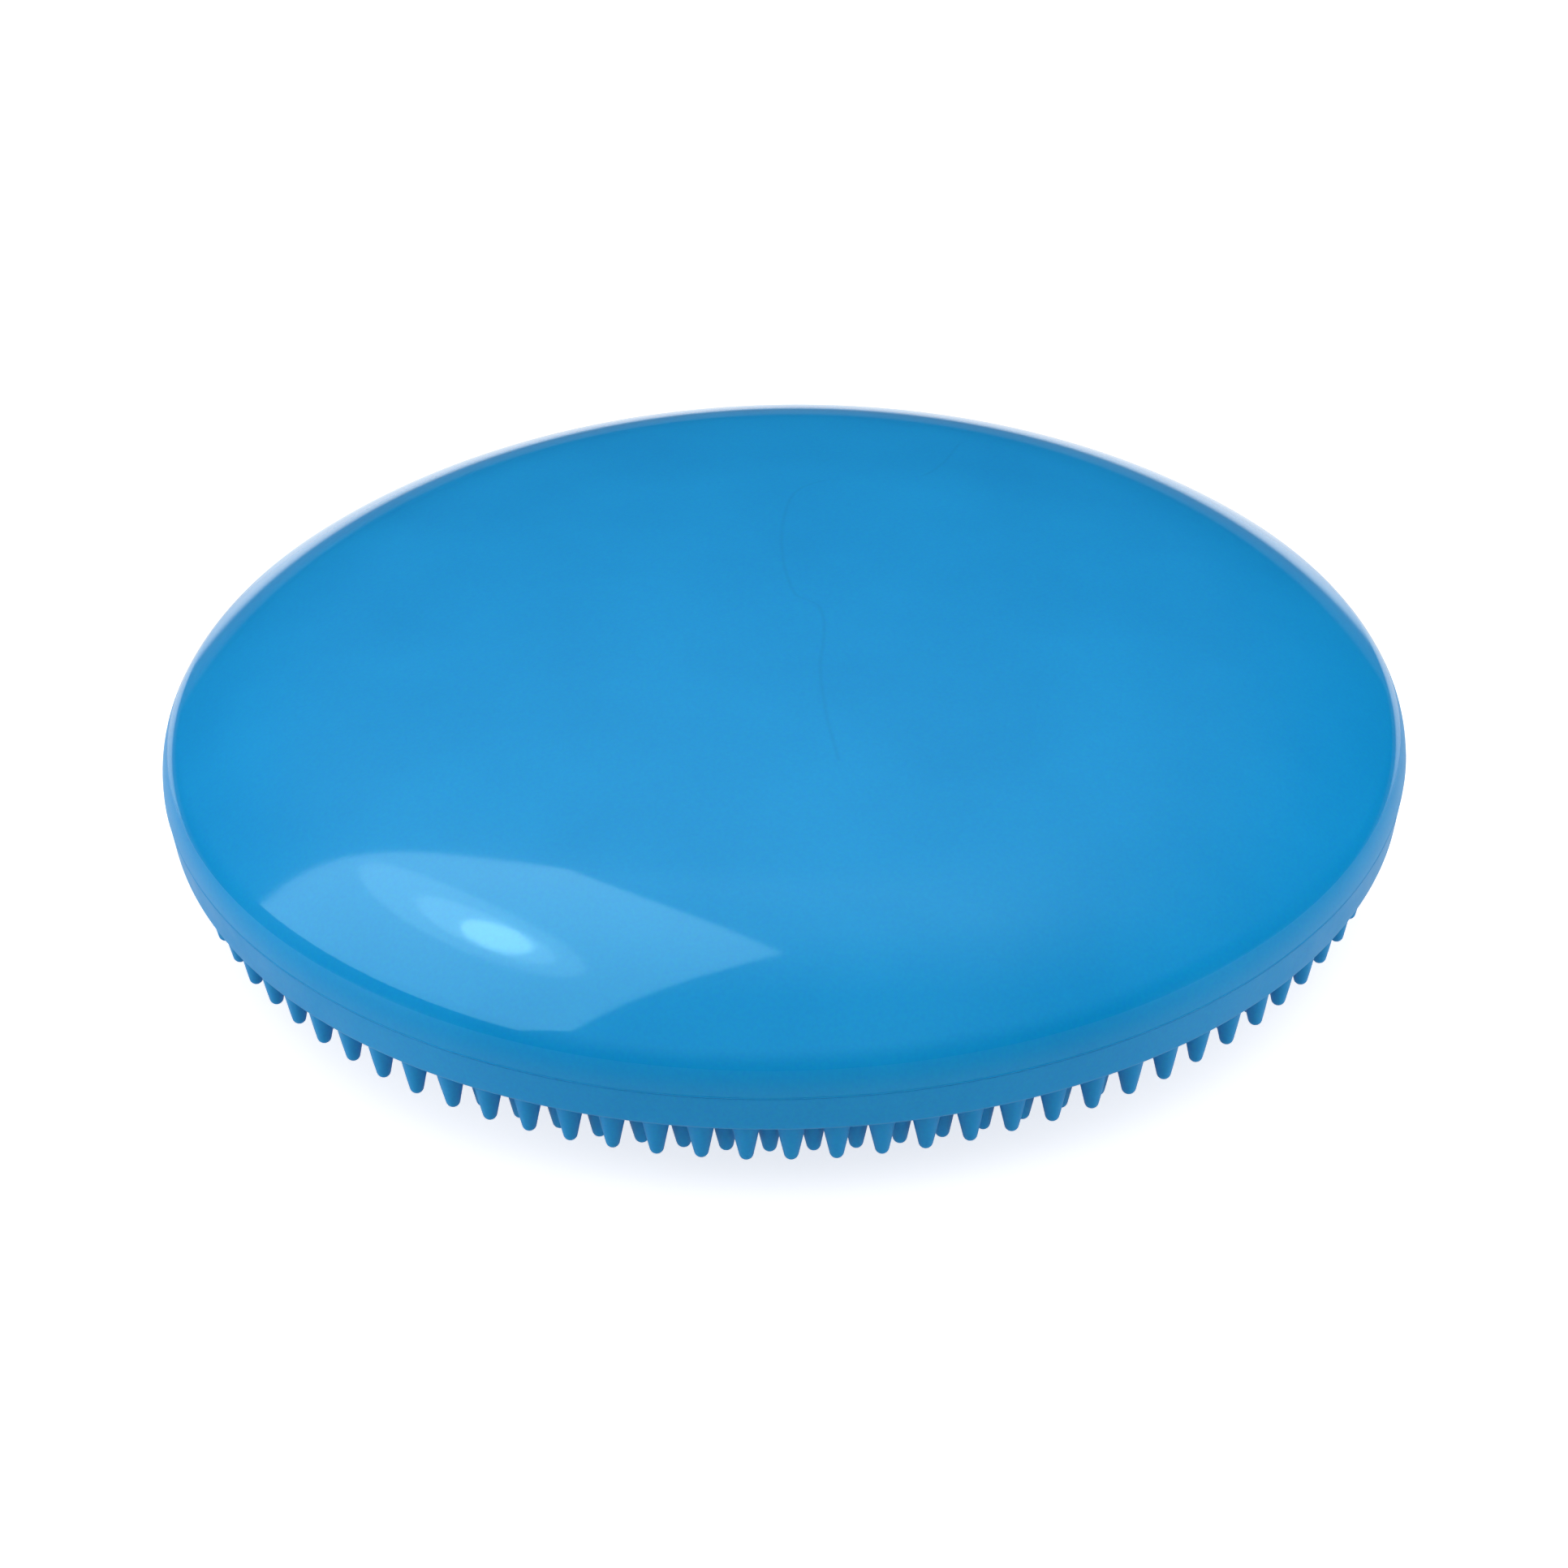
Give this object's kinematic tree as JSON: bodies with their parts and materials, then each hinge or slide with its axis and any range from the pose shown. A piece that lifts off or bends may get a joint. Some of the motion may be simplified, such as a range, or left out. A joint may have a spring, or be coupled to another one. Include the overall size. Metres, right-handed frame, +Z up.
{
  "type": "balance cushion",
  "caption": "Round air-filled balance cushion with a smooth domed face, a welded rim seam, a face of massage nubs in rings and a plugged needle valve.",
  "frame": {"origin": "on the floor, under the centre of the cushion", "axes": "+Z up through the crown of the smooth dome, +Y towards the back, where the valve is, +X to the right"},
  "size_m": [0.33, 0.33, 0.0804],
  "materials": {
    "dome_skin": "polished soft PVC",
    "nubbed_skin": "satin soft PVC",
    "nubs": "satin soft PVC",
    "seam": "satin soft PVC, as welded",
    "valve_rubber": "matt rubber",
    "valve_plug": "satin natural PVC"
  },
  "bodies": {
    "cushion": {"upper_shell": "dome_skin", "lower_shell": "nubbed_skin", "seam_weld": "seam", "nub_ring_01": "nubs", "nub_ring_02": "nubs", "nub_ring_03": "nubs", "nub_ring_04": "nubs", "nub_ring_05": "nubs", "nub_ring_06": "nubs", "nub_ring_07": "nubs", "nub_ring_08": "nubs", "nub_ring_09": "nubs", "nub_ring_10": "nubs", "nub_ring_11": "nubs", "nub_ring_12": "nubs", "valve_sleeve": "valve_rubber"},
    "plug": {"valve_plug": "valve_plug"}
  },
  "joints": [
    {"name": "plug_pull", "type": "slide", "parent": "cushion", "child": "plug", "axis": [0, 1, 0], "range_m": [0, 0.014]}
  ]
}
